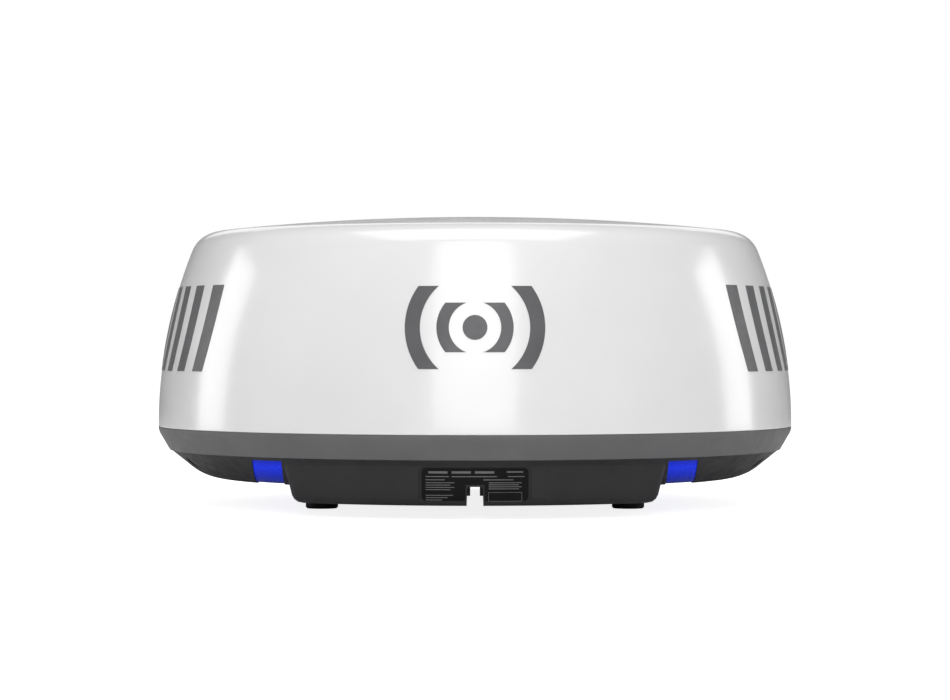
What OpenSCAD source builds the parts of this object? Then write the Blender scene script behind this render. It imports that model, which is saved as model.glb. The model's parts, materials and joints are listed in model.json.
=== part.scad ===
// Marine dome radar: a rotating array under a white dome, on a cast base with a raised pedestal.
// Origin: centre of the four foot pads, on the surface that they rest on. +Z up.
// The cable side, with the rating label, faces -Y.

/* [Dome] */
// Diameter at the seam
dome_d = 510; // [506:1:514]
// Height from the foot pads to the crown
dome_h = 230; // [229:1:234]
// Height of the seam between dome and base
seam_z = 63; // [62:0.5:64]
// Thickness of the dome's wall
dome_wall = 4; // [3:0.5:5]
// Radius of the dome's upright wall, which leans in as it rises
lean_r = 380; // [370:5:400]
// Radius of the shoulder
shoulder_r = 24; // [20:1:28]
// Radius of the crown
crown_r = 1900; // [1600:50:2400]

/* [Base] */
// Thickness of the cast walls
cast_wall = 4.5; // [4:0.5:5]
// Height of the band below the seam
band_h = 18.6; // [18:0.1:20]
// Half of the pedestal's width at its foot
pedestal_hw = 135; // [133:1:137]
// Height of the pedestal's lower edge
pedestal_z = 10.5; // [10:0.5:11]

/* [Mounting] */
// Bolt spacing across the cable side
bolt_x = 233.5; // [232:0.5:235]
// Bolt spacing from the cable side to the far side
bolt_y = 141.5; // [140:0.5:143]
// Radius of the M8 thread's bore
thread_r = 3.4; // [3.3:0.05:3.5]
// Thickness of the rubber foot pads
pad_t = 5; // [4:0.5:5.5]
// Radius of the foot pads, which sit a little outside the bolts
pad_r = 12.7; // [12:0.1:13.5]

/* [Drive] */
// Teeth on the pulley that turns the array
driven_teeth = 60; // [60:1:60]
// Teeth on the motor's pulley
motor_teeth = 9; // [9:1:9]
// Distance from the spindle to the motor's shaft
motor_y = 125; // [123:1:127]

/* [Array] */
// Length of the radiating array
array_len = 452; // [440:2:454]
// Height of the radiating array
array_h = 68; // [60:1:70]

/* [Hidden] */
$fn = 96;
eps = 0.01;

dome_r = dome_d / 2;
band_z = seam_z - band_h;

// Dome outline: three arcs, each offset inwards by t.
lean_c = [dome_r - lean_r, seam_z];
crown_c = [0, dome_h - crown_r];
lean_d = lean_r - shoulder_r;
crown_d = crown_r - shoulder_r;
centres_d = norm(crown_c - lean_c);
along = (lean_d * lean_d - crown_d * crown_d + centres_d * centres_d) / (2 * centres_d);
across = sqrt(lean_d * lean_d - along * along);
to_crown = (crown_c - lean_c) / centres_d;
shoulder_c = lean_c + along * to_crown + across * [-to_crown[1], to_crown[0]];
lean_end = atan2(shoulder_c[1] - lean_c[1], shoulder_c[0] - lean_c[0]);
crown_start = atan2(shoulder_c[1] - crown_c[1], shoulder_c[0] - crown_c[0]);

function arc(c, r, from, to, n) =
    [for (i = [0:n]) let (a = from + (to - from) * i / n) c + r * [cos(a), sin(a)]];
function lean_points(t) = arc(lean_c, lean_r - t, 0, lean_end, 16);
function shoulder_points(t) = arc(shoulder_c, shoulder_r - t, lean_end, crown_start, 12);
function crown_points(t) = arc(crown_c, crown_r - t, crown_start, 90, 12);
function dome_points(t) = concat(lean_points(t), shoulder_points(t), crown_points(t));
function reversed(list) = [for (i = [len(list) - 1:-1:0]) list[i]];

// Seam fasteners, kept clear of the pedestal and of the light slots, and gasket
seam_angles = [-18, 12, 40, 140, 168, 198];
seam_screw_r = 233;
seam_seat_z = 47;
gasket_r = 247.5;

// Belly: a flat underside that curves up to the band
belly_z = 22;
belly_flat_r = 202;
belly_edge_r = 42;
belly_slope = 38;
belly_top_r = 244.6;
pedestal_top_z = band_z + 2;
pedestal_front_r = 232;
pedestal_draft = 0.256;
pedestal_edge_r = 6;
pedestal_corner_r = 9;
slice_t = 0.2;
// Top of the rib over the cable channel, at the centre
floor_z = 17.5;
rim_room_z = band_z + 3.4;

// Accent light slots beside the pedestal
light_x = [144, 167];
light_y = 200;
light_r = 241.5;
light_inset = 0.8;
light_t = 4.5;

// Connector bay and cable notch
bay_hw = 45;
bay_y = [-225, -70];
bay_z = 30;
notch_top = 25;
socket_z = 20.3;
socket_x = 18;
label_w = 80;
label_z = [14.4, 38.6];
label_corner_r = 3;

// Channel under the pedestal that leads the cable from the bay to the centre
channel_hw = 7;
channel_y = [bay_y[1] - 1, 60];
channel_z = [17, 10.4];
foot_x = bolt_x + 7;

// Deck and everything on it
deck_z = 46;
deck_t = 3;
deck_r = 216;
deck_top = deck_z + deck_t;
post_r = 205;
bearing_w = 9;
lower_bearing_z = 25;
upper_bearing_z = 43;
spindle_r = 12.5;
race_r = 21;
ball_r = 2.7;
ball_ring_r = 16.75;
belt_z = 56;
belt_w = 10;
driven_r = 60;
motor_r = driven_r * motor_teeth / driven_teeth;
idler_r = 10;
idler_at = [17, motor_y - 33];
arm_pivot = [48, motor_y - 12];
belt_t = 1.6;
belt_gap = 0.3;
turn_z = 76;
turn_t = 4;
turn_top = turn_z + turn_t;
flag_r = 74;
array_z = turn_top + 4;
array_y = -44;
array_deep = 14;

module ring(r_out, r_in, h) difference() {
    cylinder(r = r_out, h = h);
    translate([0, 0, -1]) cylinder(r = r_in, h = h + 2);
}
module around(n, r, from = 0) for (i = [0:n - 1]) rotate(from + 360 * i / n) translate([r, 0, 0]) children();
module at_seam_screws() for (a = seam_angles) rotate(a) translate([seam_screw_r, 0, 0]) children();
module corners(x, y) for (sx = [-1, 1], sy = [-1, 1]) translate([sx * x / 2, sy * y / 2, 0]) children();
module block(x, y, z) translate([x[0], y[0], z[0]]) cube([x[1] - x[0], y[1] - y[0], z[1] - z[0]]);
module along_y() rotate([90, 0, 0]) children();
// Socket-head screw: the head's underside is at z = 0 and the shank points up.
module screw(shank_r, shank_l, head_r, head_h) translate([0, 0, -head_h]) difference() {
    union() {
        cylinder(r = shank_r, h = head_h + shank_l);
        cylinder(r = head_r, h = head_h);
    }
    translate([0, 0, -1]) cylinder(r = head_r * 0.5, h = 1 + head_h * 0.6, $fn = 6);
}

// ---------- dome ----------
module radome() color("white") difference() {
    union() {
        rotate_extrude() polygon(concat(dome_points(0), reversed(dome_points(dome_wall))));
        translate([0, 0, seam_z]) ring(dome_r - dome_wall / 2, 239, 6);
        translate([0, 0, seam_z]) at_seam_screws() cylinder(r = 9, h = 14);
    }
    translate([0, 0, seam_z - 1]) at_seam_screws() cylinder(r = 4, h = 12);
}

module radome_inserts() color("goldenrod")
    translate([0, 0, seam_z]) at_seam_screws() ring(4, 2.5, 11);

module dome_skin(t) rotate_extrude() polygon(concat(lean_points(0), reversed(lean_points(-t))));

module wave(r, w, half_h) intersection() {
    difference() { circle(r = r + w); circle(r = r); }
    union() { translate([0, -half_h]) square([r + w + 1, 2 * half_h]); }
}
module both_ways() { children(); mirror([1, 0]) children(); }

// A dot between two pairs of wave fronts
module emblem(side) color("dimgray") intersection() {
    dome_skin(0.3);
    rotate(side) along_y() linear_extrude(260) translate([0, 141]) {
        circle(r = 9);
        both_ways() { wave(19, 9, 18); wave(40, 11, 30.2); }
    }
}
module front_emblem() emblem(0);
module rear_emblem() emblem(180);

// A row of wave fronts, spreading both ways from the middle of the dome's side
module side_graphic(side) color("dimgray") intersection() {
    dome_skin(0.3);
    rotate(side) along_y() linear_extrude(260) translate([0, 141]) {
        circle(r = 12);
        both_ways() for (r = [30, 56, 82, 108, 134]) wave(r, 13, 33);
    }
}
module side_graphic_left() side_graphic(-90);
module side_graphic_right() side_graphic(90);

module rim_gasket() color("black") rotate_extrude() translate([gasket_r, seam_z - 1.3]) circle(r = 1.3);

// ---------- base ----------
module belly() rotate_extrude() polygon(concat(
    [[0, belly_z]],
    arc([belly_flat_r, belly_z + belly_edge_r], belly_edge_r, -90, belly_slope - 90, 8),
    [[belly_top_r, band_z], [belly_top_r, band_z + 3], [0, band_z + 3]]
));

// Outline with straight sides, curved ends and round corners
function quarter(hw, r, rc) =
    let (cx = hw - rc, cy = sqrt(pow(r - rc, 2) - cx * cx), phi = atan2(cy, cx))
    concat(arc([cx, cy], rc, 0, phi, 5),
        [for (i = [1:12]) let (a = phi + (90 - phi) * i / 12) r * [cos(a), sin(a)]]);
function flip(list, sx, sy) = [for (p = list) [sx * p[0], sy * p[1]]];
function outline(hw, r, rc) =
    let (q = quarter(hw, r, rc), back = reversed([for (i = [0:len(q) - 2]) q[i]]))
    concat(q, flip(back, -1, 1), flip(q, -1, -1), flip(back, 1, -1));
module pedestal_slice(z, inset) let (grow = (z - pedestal_z) * pedestal_draft - inset)
    translate([0, 0, z]) linear_extrude(slice_t)
        polygon(outline(pedestal_hw + grow, pedestal_front_r + grow, pedestal_corner_r));
module pedestal() hull() {
    for (a = [0, 30, 60, 90])
        pedestal_slice(pedestal_z + pedestal_edge_r * (1 - cos(a)), pedestal_edge_r * (1 - sin(a)));
    pedestal_slice(pedestal_top_z, 0);
}
module pedestal_room() {
    low = pedestal_z + cast_wall;
    w = pedestal_hw - cast_wall;
    w1 = w + (rim_room_z - low) * pedestal_draft;
    intersection() {
        translate([0, 0, cast_wall]) front_cone(cast_wall);
        translate([0, 260, 0]) along_y() linear_extrude(520)
            polygon([[-w, low], [w, low], [w1, rim_room_z + 0.5], [-w1, rim_room_z + 0.5]]);
    }
}

module band() rotate_extrude() polygon(concat(
    [[221, seam_z], [dome_r, seam_z]],
    arc([dome_r - 11, seam_z], 11, 0, -30, 5),
    arc([dome_r - 9.8, band_z + 1.2], 1.2, -30, -90, 3),
    [[221, band_z]]
));

module bolt_columns(r, z, h) translate([0, 0, z]) corners(bolt_x, bolt_y) cylinder(r = r, h = h);
module seam_columns(r, z, h) translate([0, 0, z]) at_seam_screws() cylinder(r = r, h = h);
module deck_posts(r, z, h) translate([0, 0, z]) around(6, post_r) cylinder(r = r, h = h);

module base_room() difference() {
    union() {
        intersection() {
            translate([0, 0, cast_wall]) belly();
            translate([0, 0, 15]) cylinder(r = 221 + eps, h = 40);
        }
        pedestal_room();
        translate([0, 0, rim_room_z]) cylinder(r = 221 + 2 * eps, h = 30);
        translate([0, 0, rim_room_z]) ring(245, 220, 10.6);
    }
    bolt_columns(15, 0, 27);
    seam_columns(9, 0, seam_z);
    deck_posts(6, 0, deck_z);
    block([-bay_hw - 4, bay_hw + 4], [bay_y[0] - 20, bay_y[1] + 4], [0, bay_z + 4]);
    block([-channel_hw - 4, channel_hw + 4], [channel_y[0], -20], [0, channel_z[0] + 4]);
    block([-channel_hw - 4, channel_hw + 4], [-21, channel_y[1]], [0, floor_z]);
}

module notch() translate([0, -205, 0]) along_y() linear_extrude(40)
    polygon([[-6.5, 0], [-5.6, notch_top - 1.5], [-4.5, notch_top],
        [4.5, notch_top], [5.6, notch_top - 1.5], [6.5, 0]]);

module rounded(hx, hy, r) polygon(concat(
    arc([hx - r, hy - r], r, 0, 90, 4),
    arc([r - hx, hy - r], r, 90, 180, 4),
    arc([r - hx, r - hy], r, 180, 270, 4),
    arc([hx - r, r - hy], r, 270, 360, 4)
));
module cable_channel() translate([-channel_hw, 0, 0]) rotate([90, 0, 90]) linear_extrude(2 * channel_hw)
    polygon([[channel_y[0], 0], [channel_y[0], channel_z[0]], [channel_y[1], channel_z[1]], [channel_y[1], 0]]);

module label_face(w, grow) translate([0, 0, (label_z[0] + label_z[1]) / 2]) along_y() linear_extrude(260)
    rounded(w / 2 + grow / 2, (label_z[1] - label_z[0] + grow) / 2, label_corner_r + grow / 2);
module front_cone(inset) translate([0, 0, pedestal_z]) cylinder(
    r1 = pedestal_front_r - inset, r2 = pedestal_front_r - inset + 40 * pedestal_draft, h = 40);

module base_housing() color("dimgray") difference() {
    union() {
        band();
        belly();
        pedestal();
        translate([0, 0, pad_t]) corners(foot_x, bolt_y) cylinder(r = pad_r, h = 20);
    }
    base_room();
    // connector bay, cable notch and label recess
    intersection() {
        block([-bay_hw, bay_hw], [-260, bay_y[1]], [-1, bay_z]);
        cylinder(r = -bay_y[0], h = 80);
    }
    notch();
    cable_channel();
    difference() {
        intersection() {
            label_face(label_w, 2);
            translate([0, 0, 1]) cylinder(r = 260, h = 60);
        }
        front_cone(1);
    }
    // sockets and vent
    for (s = [-1, 1]) translate([s * socket_x, bay_y[1] + 16, socket_z]) along_y() cylinder(r = 6.5, h = 30);
    translate([0, -120, bay_z - 1]) cylinder(r = 5, h = 10);
    // accent light slots
    for (s = [-1, 1]) light_slot(s, 0);
    // gasket groove
    translate([0, 0, seam_z - 2.6]) ring(gasket_r + 1.7, gasket_r - 1.7, 5);
    // fasteners
    seam_columns(2.8, 0, 80);
    seam_columns(5.5, 0, seam_seat_z);
    deck_posts(1.6, deck_z - 10, 20);
    bolt_columns(6, pad_t - 1, 17);
}

module radome_screws() color("silver")
    translate([0, 0, seam_seat_z]) at_seam_screws() screw(2.5, 25, 4.5, 5);

module rating_label() color("black") difference() {
    intersection() {
        label_face(label_w - 2, 0);
        difference() { front_cone(0.5); front_cone(1); }
    }
    translate([0, 0, 1.5]) along_y() linear_extrude(260)
        polygon([[-7.6, 0], [-6.8, notch_top], [6.8, notch_top], [7.6, 0]]);
}

module cable_grommet() color("black") difference() {
    block([-12, 12], [bay_y[0] + 0.5, bay_y[0] + 7], [17.8, bay_z]);
    block([-3.5, 3.5], [bay_y[0] - 5, bay_y[0] + 12], [10, 24.3]);
}

module breather_vent() color("black") translate([0, -120, bay_z - 3]) difference() {
    union() { cylinder(r = 7, h = 3); cylinder(r = 5, h = 8.5); }
    translate([0, 0, -1]) around(3, 3.2) cylinder(r = 0.7, h = 4);
}

module light_slot(side, gap) intersection() {
    block(side > 0 ? light_x + [gap, -gap] : [-light_x[1] + gap, -light_x[0] - gap],
        [-light_y, light_y], [15, band_z - gap]);
    translate([0, 0, 14]) cylinder(r = light_r - gap, h = 40);
}

// Light guide: a strip that follows the belly, set a little way into its slot
module light_guide(side) color("blue") intersection() {
    difference() {
        translate([0, 0, light_inset]) belly();
        translate([0, 0, light_inset + light_t]) belly();
    }
    light_slot(side, 0.1);
}
module light_guide_left() light_guide(-1);
module light_guide_right() light_guide(1);

module led_board(side) color("darkgreen") translate([side * (light_x[0] + light_x[1]) / 2, 0, 32]) {
    block([-9, 9], [-70, 70], [0, 1.6]);
    for (y = [-60:20:60]) translate([0, y, -1.5]) block([-2.5, 2.5], [-2.5, 2.5], [0, 1.5 + eps]);
}
module led_board_left() led_board(-1);
module led_board_right() led_board(1);

module foot_pads() color("black") difference() {
    corners(foot_x, bolt_y) {
        cylinder(r = pad_r - 0.8, h = pad_t);
        translate([0, 0, 0.8]) cylinder(r = pad_r, h = pad_t - 0.8);
    }
    bolt_columns(5, -1, pad_t + 2);
}
module mount_inserts() color("silver") translate([0, 0, pad_t]) corners(bolt_x, bolt_y) ring(6, thread_r, 16);

module socket(x, bore_r, pins) translate([x, bay_y[1], socket_z]) along_y() difference() {
    union() {
        translate([0, 0, -14]) cylinder(r = 6.5, h = 14);
        cylinder(r = 8.5, h = 14);
        around(8, 8.5) cylinder(r = 0.7, h = 10);
    }
    translate([0, 0, 5]) cylinder(r = bore_r, h = 10);
    around(pins, bore_r * 0.55) translate([0, 0, 2]) cylinder(r = 0.6, h = 4);
}
module ethernet_socket() color("black") socket(-socket_x, 6.5, 8);
module power_socket() color("black") socket(socket_x, 5, 2);

// ---------- deck and drive ----------
module deck_plate() color("silver") translate([0, 0, deck_z]) difference() {
    cylinder(r = deck_r, h = deck_t);
    translate([0, 0, -1]) {
        cylinder(r = 26.2, h = 6);
        around(6, 33, 30) cylinder(r = 1.6, h = 6);
        around(6, post_r) cylinder(r = 2.2, h = 6);
        translate([0, motor_y]) { cylinder(r = 12, h = 6); corners(31, 31) cylinder(r = 1.6, h = 6); }
        around(4, 150, 45) cylinder(r = 26, h = 6);
        translate([0, -150]) cylinder(r = 18, h = 6);
    }
}
module deck_screws() color("silver")
    translate([0, 0, deck_top]) around(6, post_r) mirror([0, 0, 1]) screw(1.6, 12, 3.6, 2.4);

module bearing_housing() color("gray") difference() {
    union() {
        translate([0, 0, 24]) cylinder(r = 26, h = 29);
        translate([0, 0, deck_top]) cylinder(r = 38, h = 4);
    }
    translate([0, 0, 20]) cylinder(r = race_r, h = lower_bearing_z + bearing_w - 20);
    translate([0, 0, 30]) cylinder(r = 19.5, h = 20);
    translate([0, 0, upper_bearing_z]) cylinder(r = race_r, h = 20);
    translate([0, 0, deck_top - 1]) around(6, 33, 30) cylinder(r = 1.6, h = 8);
}
module housing_screws() color("silver")
    translate([0, 0, deck_top + 4]) around(6, 33, 30) mirror([0, 0, 1]) screw(1.6, 9, 3, 2);

module balls_groove() rotate_extrude() translate([ball_ring_r, bearing_w / 2]) circle(r = ball_r + 0.1);
module outer_race(z) color("silver") translate([0, 0, z]) difference() {
    ring(race_r, 18.3, bearing_w);
    balls_groove();
}
module inner_race(z) color("silver") translate([0, 0, z]) difference() {
    ring(15.2, spindle_r, bearing_w);
    balls_groove();
}
module ball_set(z) color("silver") translate([0, 0, z]) {
    translate([0, 0, bearing_w / 2]) around(11, ball_ring_r) sphere(r = ball_r);
    difference() {
        translate([0, 0, bearing_w / 2 - 1.6]) ring(17.4, 16.1, 3.2);
        translate([0, 0, bearing_w / 2]) around(11, ball_ring_r) sphere(r = ball_r + 0.15);
    }
}
module upper_outer_race() outer_race(upper_bearing_z);
module lower_outer_race() outer_race(lower_bearing_z);
module upper_inner_race() inner_race(upper_bearing_z);
module lower_inner_race() inner_race(lower_bearing_z);
module upper_bearing_balls() ball_set(upper_bearing_z);
module lower_bearing_balls() ball_set(lower_bearing_z);
module bearing_spacer() color("silver") translate([0, 0, lower_bearing_z + bearing_w])
    ring(15, spindle_r, upper_bearing_z - lower_bearing_z - bearing_w);
module retaining_ring() color("black") translate([0, 0, lower_bearing_z - 1.6]) difference() {
    ring(16, 11.5, 1.6);
    block([8, 20], [-3, 3], [-1, 3]);
}

module spindle() color("silver") difference() {
    union() {
        translate([0, 0, 20]) cylinder(r = spindle_r, h = turn_z - 20);
        translate([0, 0, turn_z - 4]) cylinder(r = 30, h = 4);
    }
    translate([0, 0, 10]) cylinder(r = 9, h = 80);
    translate([0, 0, lower_bearing_z - 1.6]) ring(20, 11.5, 1.6);
    translate([0, 0, turn_z - 5]) around(6, 22) cylinder(r = 1.6, h = 8);
}

module toothed(r, teeth) difference() {
    circle(r = r);
    for (i = [0:teeth - 1]) rotate(360 * i / teeth) translate([r, 0]) circle(r = r * 0.018 + 0.6);
}
module driven_pulley() color("dimgray") difference() {
    union() {
        translate([0, 0, belt_z]) linear_extrude(belt_w) toothed(driven_r, driven_teeth);
        for (z = [belt_z - 1, belt_z + belt_w]) translate([0, 0, z]) cylinder(r = driven_r + 3, h = 1);
        translate([0, 0, upper_bearing_z + bearing_w]) cylinder(r = 15.2, h = 20);
    }
    translate([0, 0, 40]) cylinder(r = spindle_r, h = 60);
    translate([0, 0, belt_z + 3]) ring(52, 20, 20);
    translate([0, 0, 40]) around(6, 36) cylinder(r = 11, h = 40);
}

module belt_line(grow) hull() {
    circle(r = driven_r + grow);
    translate([0, motor_y]) circle(r = motor_r + grow);
    translate(idler_at) circle(r = idler_r + grow);
}
module drive_belt() color("black") translate([0, 0, belt_z + 0.6]) linear_extrude(belt_w - 1.2) difference() {
    belt_line(belt_gap + belt_t);
    belt_line(belt_gap);
}

module motor() color("dimgray") translate([0, motor_y, 0]) difference() {
    union() {
        translate([0, 0, 16]) cylinder(r = 20.5, h = 27);
        translate([0, 0, deck_z - 3]) block([-21, 21], [-21, 21], [0, 3]);
        pivot_boss();
    }
    translate([0, 0, 30]) cylinder(r = 2.6, h = 40);
    translate([0, 0, deck_z - 6]) corners(31, 31) cylinder(r = 1.5, h = 10);
}
module pivot_boss() translate([0, 0, deck_z - eps]) cylinder(r = 11, h = 2);
module motor_shaft() color("silver") translate([0, motor_y, 31]) cylinder(r = 2.5, h = 37);
module motor_pulley() color("silver") translate([0, motor_y, 0]) difference() {
    union() {
        translate([0, 0, belt_z]) linear_extrude(belt_w) toothed(motor_r, motor_teeth);
        for (z = [belt_z - 1, belt_z + belt_w]) translate([0, 0, z]) cylinder(r = motor_r + 2.4, h = 1);
        translate([0, 0, belt_z - 5]) cylinder(r = 6, h = 5);
    }
    translate([0, 0, 40]) cylinder(r = 2.5, h = 40);
}

arm_angle = atan2(arm_pivot[1] - idler_at[1], arm_pivot[0] - idler_at[0]);
arm_len = norm(arm_pivot - idler_at);
module tensioner_arm() color("silver") translate([0, 0, deck_top + 0.5]) difference() {
    union() {
        translate(idler_at) cylinder(r = 7, h = 3);
        translate(arm_pivot) cylinder(r = 8, h = 3);
        translate(idler_at) rotate(arm_angle) block([0, arm_len], [-5, 5], [0, 3]);
        translate(arm_pivot) { translate([0, 0, -0.5]) cylinder(r = 5, h = 1); cylinder(r = 4, h = 6); }
        translate(arm_pivot + [12, 3]) cylinder(r = 2, h = 8);
        translate(arm_pivot) rotate(14) block([0, 13], [-3, 3], [0, 3]);
    }
    translate(idler_at) translate([0, 0, -1]) cylinder(r = 3, h = 6);
}
module tensioner_spring() color("silver")
    translate([arm_pivot[0] + 12, arm_pivot[1] + 7.2, deck_top + 6]) rotate([-90, 0, 0]) {
    for (i = [0:9]) translate([0, 0, i * 1.3]) rotate_extrude() translate([3, 0]) circle(r = 0.75, $fn = 24);
    translate([0, 0, 14.2]) rotate([0, 90, 0]) rotate_extrude() translate([2.6, 0]) circle(r = 0.7, $fn = 24);
}
module idler_pin() color("silver") translate(idler_at) translate([0, 0, deck_top + 0.5]) union() {
    cylinder(r = 3, h = belt_z + belt_w + 1.6 - deck_top);
    translate([0, 0, 3]) cylinder(r = 4.6, h = 2);
    translate([0, 0, belt_z + belt_w + 0.6 - deck_top]) cylinder(r = 4.6, h = 1.6);
}
module idler_roller() color("dimgray") translate(idler_at) translate([0, 0, belt_z]) difference() {
    union() { cylinder(r = idler_r, h = belt_w); cylinder(r = idler_r + 2, h = 0.5); }
    translate([0, 0, -1]) cylinder(r = 3.05, h = 20);
    translate([0, 0, belt_w - 1.5]) ring(8, 5, 4);
}

// ---------- turning part ----------
module turntable() color("silver") translate([0, 0, turn_z]) difference() {
    union() {
        cylinder(r = 80, h = turn_t);
        block([-125, 125], [-46, -12], [0, turn_t]);
    }
    translate([0, 0, -1]) {
        cylinder(r = 9, h = 8);
        around(6, 22) cylinder(r = 1.8, h = 8);
        for (a = [30:60:330]) rotate(a) translate([52, 0]) cylinder(r = 10, h = 8);
    }
}
module turntable_screws() color("silver")
    translate([0, 0, turn_top]) around(6, 22) mirror([0, 0, 1]) screw(1.6, 7.5, 3, 2.4);
module zero_flag() color("black") translate([-flag_r, 0, 0]) block([-0.8, 0.8], [-4, 4], [66, turn_z]);
module zero_sensor() color("black") translate([-flag_r, 0, 0]) difference() {
    union() {
        block([-4.5, 4.5], [-6, 6], [deck_top, 73]);
        block([-6, 6], [-11, 11], [deck_top, deck_top + 3]);
    }
    block([-2, 2], [-8, 8], [64, 80]);
}
module rotary_joint_stator() color("goldenrod") difference() {
    union() {
        translate([0, 0, floor_z]) cylinder(r = 10.5, h = 2);
        translate([0, 0, floor_z]) cylinder(r = 5, h = 69.5);
    }
    translate([0, 0, 60]) cylinder(r = 2.6, h = 40);
}
module rotary_joint_rotor() color("goldenrod") translate([0, 0, turn_top]) difference() {
    union() { cylinder(r = 16, h = 3); cylinder(r = 10, h = 12); }
    translate([0, 0, -1]) cylinder(r = 5.5, h = 11);
}

array_z1 = array_z + array_h;
array_hl = array_len / 2;
module array_frame() color("silver") difference() {
    block([-array_hl, array_hl], [array_y, array_y + array_deep], [array_z, array_z1]);
    block([-array_hl + 2.5, array_hl - 2.5], [array_y - 1, array_y + array_deep - 2.5], [array_z + 2.5, array_z1 - 2.5]);
    for (x = [-200:40:200]) translate([x, 0, array_z + array_h / 2]) along_y() cylinder(r = 9, h = 60);
}
module radiator_board() color("darkgreen")
    block([-array_hl + 2.5, array_hl - 2.5], [array_y + 1.5, array_y + 3.5], [array_z + 2.5, array_z1 - 2.5]);
module radiating_patches() color("goldenrod")
    for (i = [0:19], k = [-1:1]) translate([(i - 9.5) * 22, array_y + 1.2, array_z + array_h / 2 + k * 20])
        block([-7, 7], [0, 0.3], [-6.5, 6.5]);
module array_brackets() color("silver") for (s = [-1, 1]) translate([s * 95, array_y + array_deep, turn_top]) {
    block([-14, 14], [-12, 22], [0, 3]);
    block([-14, 14], [0, 3], [0, 44]);
    translate([-1.5, 3, 3]) rotate([90, 0, 90]) linear_extrude(3) polygon([[0, 0], [18, 0], [0, 34]]);
}
box_x = 65;
box_y = [-24, 36];
box_z = [96, 126];
module transceiver_box() color("silver") {
    difference() {
        block([-box_x, box_x], box_y, box_z);
        block([-box_x + 2.5, box_x - 2.5], [box_y[0] + 2.5, box_y[1] - 2.5], [box_z[0] + 2.5, box_z[1] + 1]);
        for (x = [-box_x + 5, box_x - 5], y = [box_y[0] + 5, box_y[1] - 5])
            translate([x, y, box_z[1] - 8]) cylinder(r = 1.2, h = 10);
    }
    for (x = [-box_x + 5, box_x - 5], y = [box_y[0] + 5, box_y[1] - 5]) translate([x, y, 0]) {
        translate([0, 0, box_z[0] + 2]) ring(3, 1.2, box_z[1] - box_z[0] - 2);
        translate([0, 0, turn_top]) cylinder(r = 4, h = box_z[0] - turn_top + eps);
    }
    for (x = [-60:10:60]) block([x - 1, x + 1], [box_y[1] - eps, box_y[1] + 12], [box_z[0], box_z[1]]);
    block([-12, 12], [array_y + array_deep, box_y[0] + eps], [104, 118]);
}
module transceiver_lid() color("silver") translate([0, 0, box_z[1]]) {
    difference() {
        block([-box_x, box_x], box_y, [0, 2.5]);
        block([-box_x + 14, box_x - 14], [box_y[0] + 12, box_y[1] - 12], [1.5, 4]);
    }
    for (x = [-box_x + 5, box_x - 5], y = [box_y[0] + 5, box_y[1] - 5]) translate([x, y, 2.4]) cylinder(r = 2.6, h = 1.8);
}
module balance_weight() color("gray") intersection() {
    translate([0, 0, turn_top]) ring(78, 64, 8);
    block([-60, 60], [40, 90], [turn_top - 1, turn_top + 20]);
}

// ---------- boards on the deck ----------
module board(x) {
    block(x, [-75, 75], [deck_top + 6, deck_top + 7.6]);
    for (px = [x[0] + 5, x[1] - 5], y = [-70, 70]) translate([px, y, deck_top]) {
        cylinder(r = 3, h = 6 + eps);
        cylinder(r = 1.6, h = 9.5);
        translate([0, 0, 7.5]) cylinder(r = 3, h = 1.8);
    }
}
board_z = deck_top + 7.6;
module control_board() color("darkgreen") {
    board([-190, -100]);
    for (y = [-62:14:-20], x = [-172, -150]) block([x, x + 12], [y, y + 9], [board_z - eps, board_z + 1.6]);
    block([-124, -106], [-60, -36], [board_z - eps, board_z + 9]);
    block([-124, -106], [36, 56], [board_z - eps, board_z + 9]);
    for (y = [48, 58, 68]) translate([-150, y, board_z - eps]) cylinder(r = 3.2, h = 8);
}
module control_shield() color("silver") difference() {
    block([-180, -130], [-10, 38], [board_z, board_z + 7]);
    block([-179.4, -130.6], [-9.4, 37.4], [board_z - 1, board_z + 6.4]);
    for (x = [-170:10:-140], y = [0:10:30]) translate([x, y, board_z]) cylinder(r = 1.5, h = 10);
}
module power_board() color("darkgreen") {
    board([100, 190]);
    for (x = [118, 134, 150]) translate([x, 55, board_z - eps]) cylinder(r = 6, h = 14);
    for (x = [118, 140]) translate([x, -55, board_z + 5]) rotate_extrude() translate([7, 0]) circle(r = 4);
    for (x = [118, 140]) translate([x, -55, board_z - eps]) cylinder(r = 5, h = 3);
    block([164, 182], [-60, -30], [board_z - eps, board_z + 10]);
}
module heat_sink() color("silver") difference() {
    block([112, 178], [-20, 36], [board_z, board_z + 14]);
    for (y = [-16:7:33]) block([100, 190], [y, y + 4], [board_z + 3, board_z + 20]);
}

radome();
radome_inserts();
front_emblem();
rear_emblem();
side_graphic_left();
side_graphic_right();
rim_gasket();
base_housing();
radome_screws();
rating_label();
cable_grommet();
breather_vent();
light_guide_left();
light_guide_right();
led_board_left();
led_board_right();
foot_pads();
mount_inserts();
ethernet_socket();
power_socket();
deck_plate();
deck_screws();
bearing_housing();
housing_screws();
upper_outer_race();
lower_outer_race();
upper_inner_race();
lower_inner_race();
upper_bearing_balls();
lower_bearing_balls();
bearing_spacer();
retaining_ring();
spindle();
driven_pulley();
drive_belt();
motor();
motor_shaft();
motor_pulley();
tensioner_arm();
tensioner_spring();
idler_pin();
idler_roller();
turntable();
turntable_screws();
zero_flag();
zero_sensor();
rotary_joint_stator();
rotary_joint_rotor();
array_frame();
radiator_board();
radiating_patches();
array_brackets();
transceiver_box();
transceiver_lid();
balance_weight();
control_board();
control_shield();
power_board();
heat_sink();
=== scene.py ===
"""Marine radar dome: materials, finished dome shell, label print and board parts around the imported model."""

import json
import math

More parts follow.
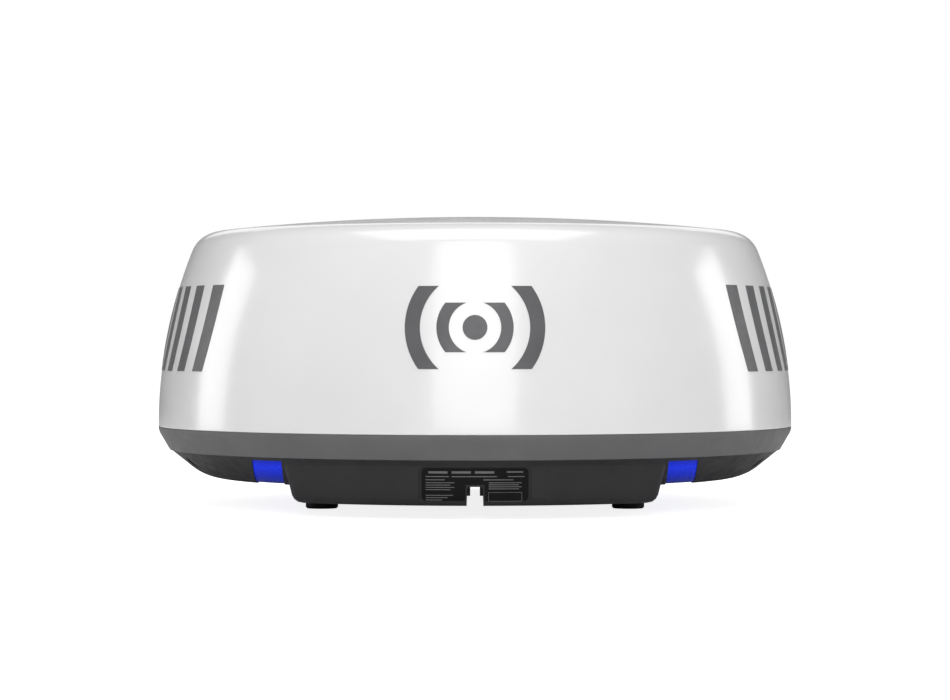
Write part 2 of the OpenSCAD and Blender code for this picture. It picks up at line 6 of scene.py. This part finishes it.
import bmesh
import bpy
import numpy as np
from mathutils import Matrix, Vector


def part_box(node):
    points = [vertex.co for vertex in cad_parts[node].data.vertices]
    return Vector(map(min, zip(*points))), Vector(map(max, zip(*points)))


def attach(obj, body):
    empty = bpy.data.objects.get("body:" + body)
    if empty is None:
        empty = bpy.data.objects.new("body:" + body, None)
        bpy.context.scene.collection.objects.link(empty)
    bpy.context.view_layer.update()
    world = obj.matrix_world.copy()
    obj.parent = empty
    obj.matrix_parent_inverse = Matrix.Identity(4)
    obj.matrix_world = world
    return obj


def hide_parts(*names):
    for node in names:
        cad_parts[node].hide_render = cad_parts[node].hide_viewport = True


MM = 0.001
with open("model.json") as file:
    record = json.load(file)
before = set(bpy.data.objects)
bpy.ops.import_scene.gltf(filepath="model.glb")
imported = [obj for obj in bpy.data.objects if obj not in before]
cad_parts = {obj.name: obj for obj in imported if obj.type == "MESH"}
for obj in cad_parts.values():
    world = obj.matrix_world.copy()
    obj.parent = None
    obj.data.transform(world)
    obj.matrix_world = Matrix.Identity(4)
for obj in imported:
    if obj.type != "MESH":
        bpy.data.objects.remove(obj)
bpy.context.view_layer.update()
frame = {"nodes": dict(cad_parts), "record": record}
nodes = frame["nodes"]
dome_low, dome_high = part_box("radome")
seam_z = dome_low.z
dome_r = dome_high.x
dome_top = dome_high.z

# Dome outline, as in the model: leaning wall, shoulder and crown
LEAN_R = 380 * MM
SHOULDER_R = 24 * MM
CROWN_R = 1900 * MM
WALL = 4 * MM
LIP_R = 0.8 * MM
FLANGE_R = 239 * MM
FLANGE_H = 6 * MM
DOME_SEGMENTS = 192

# Painted band below the seam: its height, and how far in from the rim its faces reach
BAND_H = 18.6 * MM
BAND_REACH = 14 * MM

# Pedestal face that carries the label
FACE_R = 232 * MM
FACE_Z = 10.5 * MM
FACE_DRAFT = 0.256
LABEL_DEPTH = 0.5 * MM
PRINT_T = 0.06 * MM

CAMERA_DISTANCE = 2.3
CAMERA_ABOVE_SEAM = 66.4 * MM
LENS = 107.5
FRAME_SHIFT_Y = -0.0070

# Stage: world strength on the part, floor size and how much the floor is lifted towards white
AMBIENT = 0.26
FLOOR_HALF = 40.0
FLOOR_GLOW = 0.85

# Top of the boards, and the size in mm of a small chip, a large chip and a capacitor
BOARD_TOP = 49 + 7.6
SMALL_CHIP = (4, 1.6, 1.2)
LARGE_CHIP = (12, 9, 2)
CAPACITOR = (3, 2, 1.5)


# ---------- shader helpers ----------
class Surface:
    """A principled material with noise-driven colour, roughness and bump, in object space."""

    def __init__(self, name, rough, metal=0.0, **sockets):
        self.mat = bpy.data.materials.new(name)
        self.mat.use_nodes = True
        self.tree = self.mat.node_tree
        self.bsdf = self.tree.nodes["Principled BSDF"]
        self.bsdf.inputs["Roughness"].default_value = rough
        self.bsdf.inputs["Metallic"].default_value = metal
        for key, value in sockets.items():
            self.bsdf.inputs[key.replace("_", " ")].default_value = value
        self.coords = self.node("ShaderNodeTexCoord").outputs["Object"]

    def node(self, kind, inputs=None, **settings):
        made = self.tree.nodes.new(kind)
        for key, value in settings.items():
            setattr(made, key, value)
        for key, value in (inputs or {}).items():
            if isinstance(value, bpy.types.NodeSocket):
                self.tree.links.new(value, made.inputs[key])
            else:
                made.inputs[key].default_value = value
        return made

    def link(self, output, socket):
        self.tree.links.new(output, self.bsdf.inputs[socket])

    def stretched(self, x, y, z):
        return self.node("ShaderNodeMapping", {"Vector": self.coords, "Scale": (x, y, z)}).outputs[0]

    def noise(self, size, detail=3.0, where=None):
        """Noise whose grains are about size metres across."""
        inputs = {"Vector": where or self.coords, "Scale": 1.0 / size, "Detail": detail}
        return self.node("ShaderNodeTexNoise", inputs).outputs["Fac"]

    def remap(self, value, low, high, start=0.3, stop=0.7):
        names = {"Value": value, "From Min": start, "From Max": stop, "To Min": low, "To Max": high}
        return self.node("ShaderNodeMapRange", names).outputs["Result"]

    def ramp(self, value, stops):
        made = self.node("ShaderNodeValToRGB", {"Fac": value})
        points = made.color_ramp.elements
        while len(points) < len(stops):
            points.new(0.5)
        for point, (place, colour) in zip(points, stops):
            point.position = place
            point.color = (*colour, 1.0)
        return made.outputs["Color"]

    def tint(self, value, dark, light):
        self.link(self.ramp(value, [(0.3, dark), (0.7, light)]), "Base Color")

    def roughness(self, value, low, high):
        self.link(self.remap(value, low, high), "Roughness")

    def bump(self, height, distance, strength=1.0, edge=0.0):
        inputs = {"Height": height, "Distance": distance, "Strength": strength}
        if edge:
            inputs["Normal"] = self.node("ShaderNodeBevel", {"Radius": edge}, samples=4).outputs["Normal"]
        self.link(self.node("ShaderNodeBump", inputs).outputs["Normal"], "Normal")


def gloss_white():
    s = Surface("dome_white", 0.2, Specular_IOR_Level=0.5, Coat_Weight=0.8, Coat_Roughness=0.14)
    s.tint(s.noise(0.12, 4.0), (0.80, 0.80, 0.80), (0.84, 0.84, 0.84))
    s.roughness(s.noise(0.03, 5.0), 0.17, 0.26)
    s.bump(s.noise(0.0045, 2.0), 0.00002, 0.35)
    return s.mat


def printed_grey():
    s = Surface("graphic_grey", 0.4, Specular_IOR_Level=0.45)
    s.tint(s.noise(0.025, 4.0), (0.085, 0.085, 0.09), (0.11, 0.11, 0.115))
    s.roughness(s.noise(0.004), 0.3, 0.45)
    s.bump(s.noise(0.0012), 0.00001, 0.4)
    return s.mat


def cast_paint(name, dark, light, specular):
    s = Surface(name, 0.5, Specular_IOR_Level=specular)
    s.tint(s.noise(0.05, 6.0), dark, light)
    s.roughness(s.noise(0.01, 4.0), 0.42, 0.58)
    s.bump(s.noise(0.0009, 3.0), 0.00006, 0.5, edge=0.0007)
    return s.mat


def plain_plastic(name, dark, light, grain=0.001, rough=(0.4, 0.55), specular=0.5):
    s = Surface(name, rough[0], Specular_IOR_Level=specular)
    s.tint(s.noise(0.02, 4.0), dark, light)
    s.roughness(s.noise(0.006), *rough)
    s.bump(s.noise(grain), 0.00003, 0.5)
    return s.mat


def metal(name, dark, light, rough=(0.25, 0.4), brush=(60, 60, 2500), depth=0.000006):
    s = Surface(name, rough[0], metal=1.0)
    lines = s.node("ShaderNodeTexNoise", {"Vector": s.stretched(*brush), "Scale": 1.0, "Detail": 3.0})
    s.tint(s.noise(0.03, 4.0), dark, light)
    s.roughness(lines.outputs["Fac"], *rough)
    s.bump(lines.outputs["Fac"], depth, 0.5)
    return s.mat


def cast_iron():
    s = Surface("cast_iron", 0.6, metal=0.8)
    s.tint(s.noise(0.006, 5.0), (0.12, 0.12, 0.12), (0.22, 0.215, 0.21))
    s.roughness(s.noise(0.003), 0.5, 0.75)
    s.bump(s.noise(0.0012, 4.0), 0.0002, 0.6)
    return s.mat


def solder_mask():
    """Green board with raised tracks under the mask."""
    s = Surface("board_green", 0.3, Coat_Weight=0.4, Coat_Roughness=0.15)
    tracks = s.node("ShaderNodeTexBrick", {
        "Vector": s.coords, "Scale": 90.0, "Mortar Size": 0.012, "Mortar Smooth": 0.2,
        "Color1": (0, 0, 0, 1), "Color2": (0, 0, 0, 1), "Mortar": (1, 1, 1, 1)})
    greens = [(0.0, (0.012, 0.10, 0.045)), (1.0, (0.03, 0.20, 0.09))]
    s.link(s.ramp(tracks.outputs["Color"], greens), "Base Color")
    s.roughness(s.noise(0.01), 0.25, 0.4)
    s.bump(tracks.outputs["Color"], 0.00004, 0.6)
    return s.mat


def light_guide():
    """Tinted strip: brightest under the rim, darker on its underside."""
    low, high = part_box("light_guide_left")
    s = Surface("light_blue", 0.3, Specular_IOR_Level=0.08)
    s.bsdf.inputs["Base Color"].default_value = (0.001, 0.004, 0.05, 1)
    z = s.node("ShaderNodeSeparateXYZ", {"Vector": s.coords}).outputs["Z"]
    up = s.remap(z, 0.0, 1.0, start=low.z, stop=high.z - 4 * MM)
    glow = s.ramp(up, [
        (0.0, (0.008, 0.014, 0.12)), (0.3, (0.004, 0.016, 0.36)),
        (0.8, (0.006, 0.03, 0.8)), (1.0, (0.004, 0.02, 0.55))])
    s.link(glow, "Emission Color")
    s.bsdf.inputs["Emission Strength"].default_value = 0.85
    s.roughness(s.noise(0.005), 0.2, 0.3)
    s.bump(s.noise(0.004), 0.000004, 0.3)
    return s.mat


def make_materials():
    plastic = plain_plastic
    return {
        "dome_white": gloss_white(),
        "graphic_grey": printed_grey(),
        "base_grey": cast_paint("base_grey", (0.026, 0.026, 0.0265), (0.033, 0.033, 0.034), 0.2),
        "rim_grey": cast_paint("rim_grey", (0.118, 0.118, 0.12), (0.135, 0.135, 0.137), 0.35),
        "label_black": plastic("label_black", (0.004, 0.004, 0.004), (0.007, 0.007, 0.007),
                               rough=(0.35, 0.5), specular=0.12),
        "label_print": plastic("label_print", (0.10, 0.10, 0.105), (0.14, 0.14, 0.145), rough=(0.4, 0.5)),
        "plastic_black": plastic("plastic_black", (0.012, 0.012, 0.013), (0.02, 0.02, 0.021)),
        "pulley_plastic": plastic("pulley_plastic", (0.04, 0.04, 0.043), (0.06, 0.06, 0.064)),
        "motor_paint": plastic("motor_paint", (0.02, 0.02, 0.021), (0.032, 0.032, 0.034), rough=(0.25, 0.4)),
        "rubber_black": plastic("rubber_black", (0.008, 0.008, 0.008), (0.016, 0.016, 0.016),
                                0.0006, (0.7, 0.9)),
        "belt_rubber": plastic("belt_rubber", (0.01, 0.01, 0.01), (0.018, 0.018, 0.018), 0.0008, (0.6, 0.8)),
        "light_blue": light_guide(),
        "board_green": solder_mask(),
        "steel": metal("steel", (0.50, 0.50, 0.50), (0.62, 0.62, 0.62)),
        "bearing_steel": metal("bearing_steel", (0.62, 0.62, 0.63), (0.72, 0.72, 0.73), (0.12, 0.22)),
        "aluminium": metal("aluminium", (0.60, 0.61, 0.62), (0.70, 0.71, 0.72), (0.3, 0.45), (900, 40, 40)),
        "brass": metal("brass", (0.66, 0.48, 0.20), (0.76, 0.58, 0.28)),
        "copper": metal("copper", (0.78, 0.50, 0.26), (0.86, 0.60, 0.34), (0.2, 0.3)),
        "cast_iron": cast_iron(),
    }


# ---------- mesh helpers ----------
def smooth_normals(obj, limit=32.0):
    """Rounds the shading across facets that meet at less than the limit, and keeps true edges sharp."""
    mesh = obj.data
    count = len(mesh.polygons)
    normals = np.zeros(count * 3)
    mesh.polygons.foreach_get("normal", normals)
    normals = normals.reshape(-1, 3)
    areas = np.zeros(count)
    mesh.polygons.foreach_get("area", areas)
    owner = np.repeat(np.arange(count), [p.loop_total for p in mesh.polygons])
    corner = np.zeros(len(mesh.loops), int)
    mesh.loops.foreach_get("vertex_index", corner)
    places = np.zeros(len(mesh.vertices) * 3)
    mesh.vertices.foreach_get("co", places)
    keys = np.round(places.reshape(-1, 3) * 1e6).astype(np.int64)
    _, same = np.unique(keys, axis=0, return_inverse=True)
    spot = same.reshape(-1)[corner]
    order = np.argsort(spot, kind="stable")
    cuts = np.flatnonzero(np.diff(spot[order])) + 1
    nearness = math.cos(math.radians(limit))
    result = normals[owner].copy()
    for group in np.split(order, cuts):
        faces = owner[group]
        around = normals[faces]
        weights = (around @ around.T > nearness) * areas[faces][None, :]
        result[group] = weights @ around
    lengths = np.linalg.norm(result, axis=1, keepdims=True)
    result = np.where(lengths > 0, result / np.maximum(lengths, 1e-20), normals[owner])
    mesh.polygons.foreach_set("use_smooth", [True] * count)
    mesh.normals_split_custom_set(result.tolist())


def mesh_object(name, verts, faces, material):
    mesh = bpy.data.meshes.new(name)
    mesh.from_pydata(verts, [], faces)
    mesh.update()
    obj = bpy.data.objects.new(name, mesh)
    bpy.context.scene.collection.objects.link(obj)
    mesh.materials.append(material)
    return obj


def arc(centre, radius, start, stop, count):
    """Points along an arc in the (radius, height) plane, angles in degrees."""
    turns = [math.radians(start + (stop - start) * i / count) for i in range(count + 1)]
    return [(centre[0] + radius * math.cos(a), centre[1] + radius * math.sin(a)) for a in turns]


def lathe(name, profile, segments, material):
    """Closed solid of revolution about Z; profile points run round the section."""
    verts = []
    faces = []
    rings = []
    for radius, z in profile:
        if radius < 1e-6:
            rings.append([len(verts)] * segments)
            verts.append((0, 0, z))
            continue
        rings.append([len(verts) + i for i in range(segments)])
        for i in range(segments):
            turn = 2 * math.pi * i / segments
            verts.append((radius * math.cos(turn), radius * math.sin(turn), z))
    for low, high in zip(rings, rings[1:] + rings[:1]):
        for i in range(segments):
            k = (i + 1) % segments
            corners = list(dict.fromkeys([low[i], low[k], high[k], high[i]]))
            if len(corners) > 2:
                faces.append(corners)
    return mesh_object(name, verts, faces, material)


# ---------- dome ----------
def dome_arcs(inset):
    """Outline of the dome from the seam to the axis, moved in by the inset."""
    lean = Vector((dome_r - LEAN_R, seam_z))
    crown = Vector((0, dome_top - CROWN_R))
    lean_d = LEAN_R - SHOULDER_R
    crown_d = CROWN_R - SHOULDER_R
    gap = (crown - lean).length
    along = (lean_d ** 2 - crown_d ** 2 + gap ** 2) / (2 * gap)
    across = math.sqrt(lean_d ** 2 - along ** 2)
    way = (crown - lean) / gap
    shoulder = lean + along * way + across * Vector((-way.y, way.x))
    lean_end = math.degrees(math.atan2(shoulder.y - lean.y, shoulder.x - lean.x))
    crown_start = math.degrees(math.atan2(shoulder.y - crown.y, shoulder.x - crown.x))
    return (arc(lean, LEAN_R - inset, 0, lean_end, 28)
            + arc(shoulder, SHOULDER_R - inset, lean_end, crown_start, 20)[1:]
            + arc(crown, CROWN_R - inset, crown_start, 90, 24)[1:])


def make_dome(material):
    """The visible shell: a true curve with a small round at the seam and a flange inside."""
    outer = dome_arcs(0)[1:]
    inner = list(reversed(dome_arcs(WALL)))[:-1]
    lip = arc((dome_r - LIP_R, seam_z + LIP_R), LIP_R, -90, -4, 5)
    flange_z = seam_z + FLANGE_H
    inner = [p for p in inner if p[1] > flange_z + 1 * MM]
    wall_r = inner[-1][0]
    flange = [(wall_r, flange_z), (FLANGE_R, flange_z), (FLANGE_R, seam_z)]
    shell = lathe("dome_shell", lip + outer + inner + flange, DOME_SEGMENTS, material)
    smooth_normals(shell, 30)
    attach(shell, "root")
    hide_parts("radome")


# ---------- rating label ----------
def face_point(x, z, proud):
    radius = FACE_R + (z - FACE_Z) * FACE_DRAFT - LABEL_DEPTH + proud
    return (x, -math.sqrt(radius ** 2 - x ** 2), z)


def print_bar(x0, x1, z0, z1, verts, faces):
    """One thin printed bar that follows the round face of the label."""
    columns = max(2, int((x1 - x0) / (3 * MM)))
    start = len(verts)
    for proud in (0.01 * MM, PRINT_T):
        for i in range(columns + 1):
            x = x0 + (x1 - x0) * i / columns
            verts += [face_point(x, z0, proud), face_point(x, z1, proud)]
    back = 2 * (columns + 1)
    for i in range(columns):
        a = start + 2 * i
        faces += [(a, a + 1, a + 3, a + 2), (a + back, a + back + 2, a + back + 3, a + back + 1)]
        faces += [(a, a + 2, a + back + 2, a + back), (a + 1, a + back + 1, a + back + 3, a + 3)]
    end = start + 2 * columns
    faces += [(start, start + back, start + back + 1, start + 1), (end, end + 1, end + back + 1, end + back)]


def make_label_print(material):
    """Plain bars where a rating plate has its lines: a heading, two columns and a boxed field."""
    low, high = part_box("rating_label")
    left = low.x + 3 * MM
    right = high.x - 3 * MM
    top = high.z - 2.2 * MM
    verts = []
    faces = []

    def row(z, height, spans):
        for x0, x1 in spans:
            print_bar(x0, x1, z - height, z, verts, faces)

    for i in range(3):
        row(top, 1.7 * MM, [(left + (2 + 17 * i) * MM, left + (16 + 17 * i) * MM)])
    row(top, 1.1 * MM, [(right - 13 * MM, right - 1 * MM)])
    row(top - 3.6 * MM, 0.7 * MM,
        [(left, left + 17 * MM), (left + 19 * MM, right - 20 * MM), (right - 12 * MM, right)])
    row(top - 6.0 * MM, 0.7 * MM, [(left, left + 14 * MM), (right - 30 * MM, right - 8 * MM)])
    for i in range(4):
        row(top - (8.2 + 1.7 * i) * MM, 0.6 * MM, [(left, left + (21 - 3 * (i % 2)) * MM)])
    for i in range(4):
        row(top - (8.2 + 1.5 * i) * MM, 0.6 * MM, [(right - 26 * MM, right - (2 + 2 * (i % 2)) * MM)])
    for i in range(3):
        row(top - (17.5 + 1.7 * i) * MM, 0.6 * MM, [(left, left + (20 - 4 * i) * MM)])
    box_z = top - 15.5 * MM
    row(box_z, 0.3 * MM, [(right - 26 * MM, right - 2 * MM)])
    row(box_z - 6.5 * MM, 0.3 * MM, [(right - 26 * MM, right - 2 * MM)])
    row(box_z, 6.8 * MM, [(right - 26.3 * MM, right - 26 * MM), (right - 2 * MM, right - 1.7 * MM)])
    piece = mesh_object("label_print", verts, faces, material)
    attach(piece, "root")


# ---------- parts on the boards ----------
def chip(bm, x, y, z, sx, sy, sz):
    made = bmesh.ops.create_cube(bm, size=1.0)
    for v in made["verts"]:
        v.co = Vector((x + v.co.x * sx, y + v.co.y * sy, z + (v.co.z + 0.5) * sz))
    edges = list({e for v in made["verts"] for e in v.link_edges})
    bmesh.ops.bevel(bm, geom=edges, offset=min(sx, sy, sz) * 0.12, segments=2, affect="EDGES")


def make_board_parts(name, spots, body, material):
    bm = bmesh.new()
    for spot in spots:
        chip(bm, *(v * MM for v in spot))
    mesh = bpy.data.meshes.new(name)
    bm.to_mesh(mesh)
    bm.free()
    piece = bpy.data.objects.new(name, mesh)
    bpy.context.scene.collection.objects.link(piece)
    mesh.materials.append(material)
    smooth_normals(piece, 40)
    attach(piece, body)


# ---------- scene ----------
def area_light(name, place, target, size, power):
    light = bpy.data.lights.new(name, "AREA")
    light.shape = "RECTANGLE"
    light.size, light.size_y = size
    light.energy = power
    obj = bpy.data.objects.new(name, light)
    bpy.context.scene.collection.objects.link(obj)
    obj.location = place
    obj.rotation_euler = (Vector(target) - Vector(place)).to_track_quat("-Z", "Y").to_euler()
    obj.visible_camera = False


def make_studio():
    middle = (0, 0, seam_z + 60 * MM)
    area_light("front_softbox", (0, -2.6, 1.25), (0, 0, 0.7), (1.4, 2.5), 31)
    area_light("left_strip", (-1.7, 0.35, 0.3), middle, (0.5, 1.2), 5)
    area_light("right_strip", (1.7, 0.35, 0.3), middle, (0.5, 1.2), 5)
    area_light("top_softbox", (0, -0.5, 1.8), middle, (1.8, 1.4), 18)
    area_light("back_panel", (0, 2.8, 1.5), middle, (2.4, 1.2), 7)
    world = bpy.data.worlds.new("studio")
    bpy.context.scene.world = world
    world.use_nodes = True
    tree = world.node_tree
    back = tree.nodes["Background"]
    back.inputs["Color"].default_value = (1, 1, 1, 1)
    path = tree.nodes.new("ShaderNodeLightPath")
    level = tree.nodes.new("ShaderNodeMapRange")
    level.inputs["To Min"].default_value = AMBIENT
    level.inputs["To Max"].default_value = 1.0
    tree.links.new(path.outputs["Is Camera Ray"], level.inputs["Value"])
    tree.links.new(level.outputs["Result"], back.inputs["Strength"])


def make_floor():
    corners = [(x * FLOOR_HALF, y * FLOOR_HALF, 0) for x, y in ((-1, -1), (1, -1), (1, 1), (-1, 1))]
    s = Surface("floor_pale", 0.9)
    s.bsdf.inputs["Emission Color"].default_value = (1, 1, 1, 1)
    seen = s.node("ShaderNodeLightPath").outputs["Is Camera Ray"]
    s.link(s.remap(seen, 0.0, FLOOR_GLOW, 0.0, 1.0), "Emission Strength")
    s.tint(s.noise(0.3), (0.93, 0.93, 0.93), (0.95, 0.95, 0.95))
    # Clear on its lower side, so that the underside of the part can be looked at
    clear = s.node("ShaderNodeBsdfTransparent").outputs[0]
    lower_side = s.node("ShaderNodeNewGeometry").outputs["Backfacing"]
    mix = s.node("ShaderNodeMixShader", {0: lower_side, 1: s.bsdf.outputs[0], 2: clear})
    s.tree.links.new(mix.outputs[0], s.tree.nodes["Material Output"].inputs["Surface"])
    mesh_object("floor", corners, [(0, 1, 2, 3)], s.mat)


def make_camera():
    camera = bpy.data.objects.new("camera", bpy.data.cameras.new("camera"))
    bpy.context.scene.collection.objects.link(camera)
    camera.location = (0, -CAMERA_DISTANCE, seam_z + CAMERA_ABOVE_SEAM)
    camera.rotation_euler = (math.radians(90), 0, 0)
    camera.data.lens = LENS
    camera.data.sensor_width = 36
    camera.data.shift_y = FRAME_SHIFT_Y
    bpy.context.scene.camera = camera


def dress_nodes(materials):
    """Every CAD node gets its slot's material and smooth shading."""
    for entry in frame["record"]["subparts"]:
        obj = nodes[entry["node"]]
        obj.data.materials.clear()
        obj.data.materials.append(materials[entry["material_slot"]])
        smooth_normals(obj)
    paint_rim(nodes["base_housing"], materials["rim_grey"])


def paint_rim(obj, material):
    """The band round the rim is a lighter grey than the belly and the pedestal."""
    low_z = seam_z - BAND_H
    obj.data.materials.append(material)
    for face in obj.data.polygons:
        outside = math.hypot(face.center.x, face.center.y) > dome_r - BAND_REACH
        if outside and face.center.z > low_z and face.normal.z < 0.9:
            face.material_index = 1


make_camera()
materials = make_materials()
dress_nodes(materials)
make_dome(materials["dome_white"])
make_label_print(materials["label_print"])
control_chips = [(-165 + 9 * (i % 4), -68 + 3.2 * (i // 4) + 115, BOARD_TOP, *SMALL_CHIP) for i in range(16)]
control_chips += [(-115, -5 + 14 * i, BOARD_TOP, *LARGE_CHIP) for i in range(3)]
make_board_parts("control_board_chips", control_chips, "root", materials["plastic_black"])
power_chips = [(107 + 6 * (i % 2), 40 + 5 * i, BOARD_TOP, *CAPACITOR) for i in range(6)]
make_board_parts("power_board_chips", power_chips, "root", materials["plastic_black"])
make_studio()
make_floor()
bpy.context.scene.view_settings.view_transform = "Standard"
